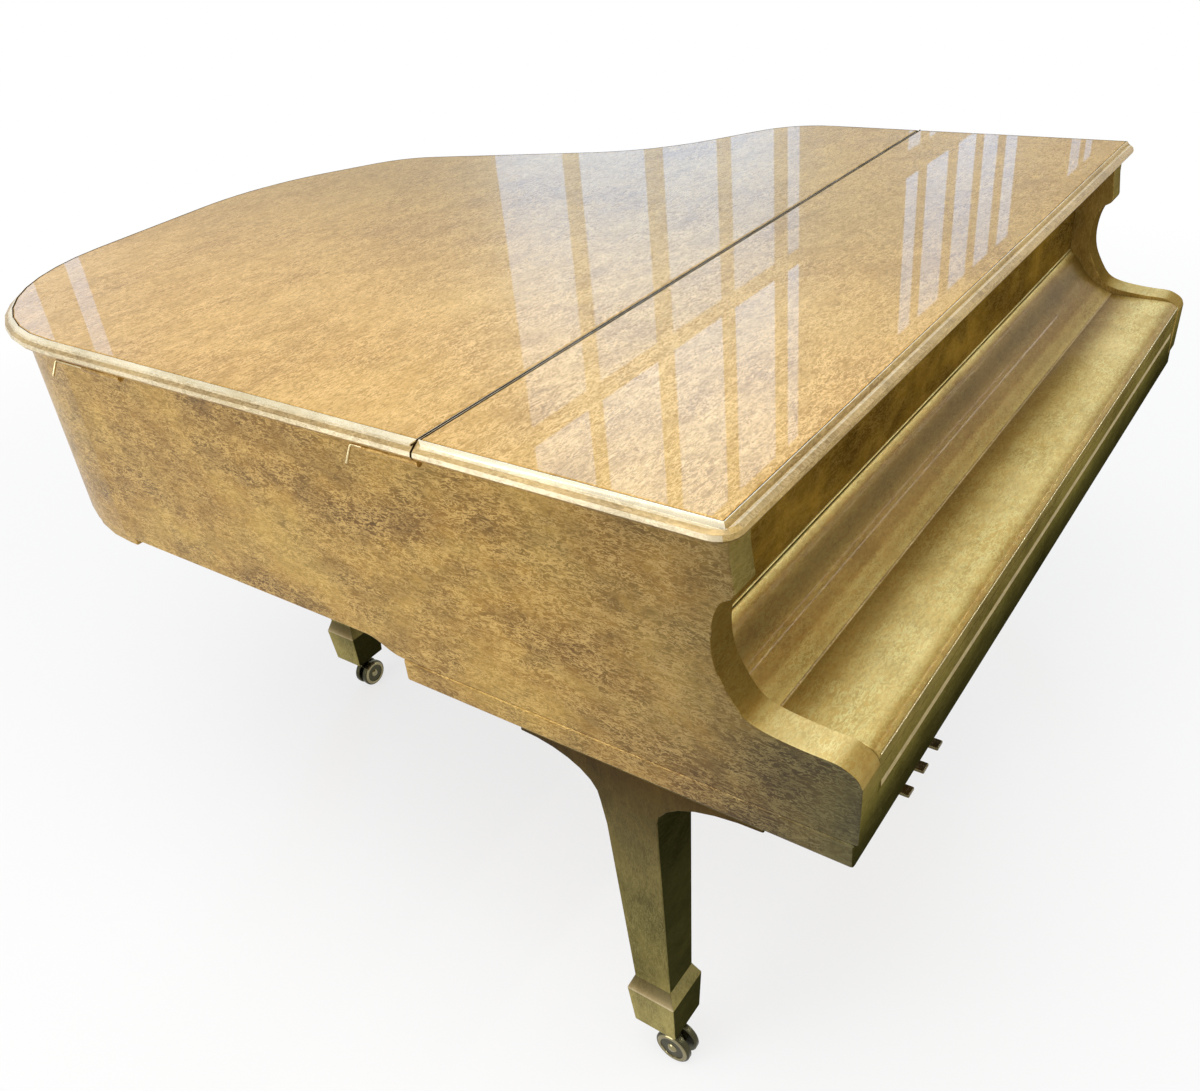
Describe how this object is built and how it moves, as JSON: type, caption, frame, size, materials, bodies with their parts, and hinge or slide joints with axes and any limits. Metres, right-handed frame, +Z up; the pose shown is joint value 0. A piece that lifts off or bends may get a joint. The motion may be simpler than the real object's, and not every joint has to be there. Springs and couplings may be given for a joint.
{
  "type": "grand piano",
  "caption": "Grand piano in gilt gloss finish, with a hinged lid and flap, prop, fallboard, music desk, keys, hammers, dampers, pedals and casters.",
  "frame": {"origin": "on the floor, under the middle of the outer box", "axes": "+X from the bass side to the treble side, +Y from the keyboard to the tail, +Z up"},
  "size_m": [1.5009, 1.682, 1.02],
  "materials": {
    "gold_leaf": "metal leaf under clear gloss lacquer",
    "shaded_leaf": "metal leaf under clear gloss lacquer, deeper tone",
    "polished_brass": "polished",
    "spruce": "satin varnish",
    "maple": "satin",
    "white_key": "gloss",
    "black_key": "satin black",
    "bronzed_iron": "bronze paint under lacquer",
    "string_steel": "drawn wire",
    "hammer_felt": "pressed felt",
    "damper_black": "satin black"
  },
  "bodies": {
    "case": {"back_brace_1": "maple", "back_brace_2": "maple", "back_brace_3": "maple", "bass_bridge": "maple", "bass_strings": "string_steel", "belly_rail": "maple", "cheek_block_bass": "shaded_leaf", "cheek_block_treble": "shaded_leaf", "front_board": "gold_leaf", "hinge_rim_leaf_front": "polished_brass", "hinge_rim_leaf_rear": "polished_brass", "inner_rim": "maple", "iron_plate": "bronzed_iron", "key_slip": "gold_leaf", "keybed": "shaded_leaf", "leg_front_bass": "shaded_leaf", "leg_front_treble": "shaded_leaf", "leg_rear": "shaded_leaf", "lyre_box": "shaded_leaf", "lyre_frame": "shaded_leaf", "lyre_stay": "polished_brass", "outer_rim": "gold_leaf", "pin_block": "maple", "prop_block": "shaded_leaf", "prop_bracket": "polished_brass", "rear_leg_block": "maple", "shelf_rail_bass": "shaded_leaf", "shelf_rail_treble": "shaded_leaf", "soundboard": "spruce", "tail_block": "gold_leaf", "treble_bridge": "maple", "treble_strings": "string_steel"},
    "lid": {"lid_main": "gold_leaf", "hinge_lid_leaf_front": "polished_brass", "hinge_lid_leaf_rear": "polished_brass"},
    "flap": {"lid_flap": "gold_leaf"},
    "fallboard": {"fallboard": "gold_leaf"},
    "music_shelf": {"music_shelf": "shaded_leaf"},
    "music_desk": {"music_desk": "gold_leaf"},
    "prop_stick": {"prop_stick": "gold_leaf"},
    "key_frame": {"key_frame": "maple", "action_rail": "maple"},
    "white_keys": {"white_keys": "white_key"},
    "black_keys": {"black_keys": "black_key"},
    "hammers": {"hammers": "hammer_felt"},
    "dampers": {"dampers": "damper_black"},
    "hinge_pin_front": {"hinge_pin_front": "polished_brass"},
    "hinge_pin_rear": {"hinge_pin_rear": "polished_brass"},
    "pedal_left": {"pedal_left": "polished_brass"},
    "pedal_rod_left": {"pedal_rod_left": "polished_brass"},
    "pedal_middle": {"pedal_middle": "polished_brass"},
    "pedal_rod_middle": {"pedal_rod_middle": "polished_brass"},
    "pedal_right": {"pedal_right": "polished_brass"},
    "pedal_rod_right": {"pedal_rod_right": "polished_brass"},
    "caster_yoke_front_bass": {"caster_yoke_front_bass": "polished_brass"},
    "caster_wheels_front_bass": {"caster_wheels_front_bass": "polished_brass"},
    "caster_yoke_front_treble": {"caster_yoke_front_treble": "polished_brass"},
    "caster_wheels_front_treble": {"caster_wheels_front_treble": "polished_brass"},
    "caster_yoke_rear": {"caster_yoke_rear": "polished_brass"},
    "caster_wheels_rear": {"caster_wheels_rear": "polished_brass"}
  },
  "joints": [
    {"name": "lid_hinge", "type": "hinge", "parent": "case", "child": "lid", "pos_m": [-0.7365, -0.01102, 0.99], "axis": [0, -1, 0], "range_deg": [0, 34]},
    {"name": "flap_hinge", "type": "hinge", "parent": "lid", "child": "flap", "pos_m": [0, -0.30302, 1.0205], "axis": [-1, 0, 0], "range_deg": [0, 180]},
    {"name": "shelf_slide", "type": "slide", "parent": "case", "child": "music_shelf", "axis": [0, 1, 0], "range_m": [0, 0.05]},
    {"name": "desk_hinge", "type": "hinge", "parent": "music_shelf", "child": "music_desk", "pos_m": [0, -0.62702, 0.9706], "axis": [1, 0, 0], "range_deg": [0, 70.1]},
    {"name": "fallboard_hinge", "type": "hinge", "parent": "case", "child": "fallboard", "pos_m": [0, -0.65102, 0.762], "axis": [-1, 0, 0], "range_deg": [0, 95]},
    {"name": "prop_swing", "type": "hinge", "parent": "case", "child": "prop_stick", "pos_m": [0.58, -0.21102, 0.903], "axis": [0.545, 0.3147, 0.7771], "range_deg": [0, 54.1]},
    {"name": "key_frame_shift", "type": "slide", "parent": "case", "child": "key_frame", "axis": [1, 0, 0], "range_m": [0, 0.0025], "stiffness_N_per_m": 2000, "springref_m": -0.002},
    {"name": "white_key_dip", "type": "hinge", "parent": "key_frame", "child": "white_keys", "pos_m": [0, -0.59102, 0.692], "axis": [1, 0, 0], "range_deg": [0, 2.9], "stiffness_Nm_per_rad": 20, "springref_deg": -2.86},
    {"name": "black_key_dip", "type": "hinge", "parent": "key_frame", "child": "black_keys", "pos_m": [0, -0.59102, 0.692], "axis": [1, 0, 0], "range_deg": [0, 2.9], "stiffness_Nm_per_rad": 20, "springref_deg": -2.86},
    {"name": "hammer_swing", "type": "hinge", "parent": "key_frame", "child": "hammers", "pos_m": [0, -0.47652, 0.755], "axis": [1, 0, 0], "range_deg": [0, 25.2]},
    {"name": "damper_lift", "type": "slide", "parent": "case", "child": "dampers", "axis": [0, 0, 1], "range_m": [0, 0.005]},
    {"name": "hinge_pin_front_draw", "type": "slide", "parent": "case", "child": "hinge_pin_front", "axis": [0, 1, 0], "range_m": [0, 0.04]},
    {"name": "hinge_pin_rear_draw", "type": "slide", "parent": "case", "child": "hinge_pin_rear", "axis": [0, 1, 0], "range_m": [0, 0.04]},
    {"name": "pedal_left_press", "type": "hinge", "parent": "case", "child": "pedal_left", "pos_m": [-0.07, -0.58782, 0.074], "axis": [1, 0, 0], "range_deg": [0, 10]},
    {"name": "pedal_rod_left_lift", "type": "slide", "parent": "case", "child": "pedal_rod_left", "axis": [0, 0, 1], "range_m": [0, 0.006]},
    {"name": "pedal_middle_press", "type": "hinge", "parent": "case", "child": "pedal_middle", "pos_m": [0, -0.58782, 0.074], "axis": [1, 0, 0], "range_deg": [0, 10], "stiffness_Nm_per_rad": 20, "springref_deg": -5.73},
    {"name": "pedal_rod_middle_lift", "type": "slide", "parent": "case", "child": "pedal_rod_middle", "axis": [0, 0, 1], "range_m": [0, 0.006]},
    {"name": "pedal_right_press", "type": "hinge", "parent": "case", "child": "pedal_right", "pos_m": [0.07, -0.58782, 0.074], "axis": [1, 0, 0], "range_deg": [0, 10], "stiffness_Nm_per_rad": 20, "springref_deg": -5.73},
    {"name": "pedal_rod_right_lift", "type": "slide", "parent": "case", "child": "pedal_rod_right", "axis": [0, 0, 1], "range_m": [0, 0.006]},
    {"name": "caster_front_bass_swivel", "type": "hinge", "parent": "case", "child": "caster_yoke_front_bass", "pos_m": [-0.68, -0.53602, 0.0877], "axis": [0, 0, 1], "continuous": true},
    {"name": "caster_front_bass_roll", "type": "hinge", "parent": "caster_yoke_front_bass", "child": "caster_wheels_front_bass", "pos_m": [-0.68, -0.55002, 0.029], "axis": [1, 0, 0], "continuous": true},
    {"name": "caster_front_treble_swivel", "type": "hinge", "parent": "case", "child": "caster_yoke_front_treble", "pos_m": [0.68, -0.53602, 0.0877], "axis": [0, 0, 1], "continuous": true},
    {"name": "caster_front_treble_roll", "type": "hinge", "parent": "caster_yoke_front_treble", "child": "caster_wheels_front_treble", "pos_m": [0.68, -0.55002, 0.029], "axis": [1, 0, 0], "continuous": true},
    {"name": "caster_rear_swivel", "type": "hinge", "parent": "case", "child": "caster_yoke_rear", "pos_m": [-0.28, 0.52398, 0.0877], "axis": [0, 0, 1], "continuous": true},
    {"name": "caster_rear_roll", "type": "hinge", "parent": "caster_yoke_rear", "child": "caster_wheels_rear", "pos_m": [-0.266, 0.52398, 0.029], "axis": [0, 1, 0], "continuous": true}
  ],
  "couplings": [
    {"joint": "prop_swing", "follows": "lid_hinge", "ratio": 1.5882},
    {"joint": "desk_hinge", "follows": "flap_hinge", "ratio": 0.389},
    {"joint": "hammer_swing", "follows": "white_key_dip", "ratio": 8.6},
    {"joint": "pedal_left_press", "follows": "key_frame_shift", "rad_per_m": 69.773},
    {"joint": "pedal_rod_left_lift", "follows": "key_frame_shift", "ratio": 2.39},
    {"joint": "damper_lift", "follows": "pedal_right_press", "m_per_rad": 0.028591},
    {"joint": "pedal_rod_middle_lift", "follows": "pedal_middle_press", "m_per_rad": 0.034263},
    {"joint": "pedal_rod_right_lift", "follows": "pedal_right_press", "m_per_rad": 0.034263}
  ]
}
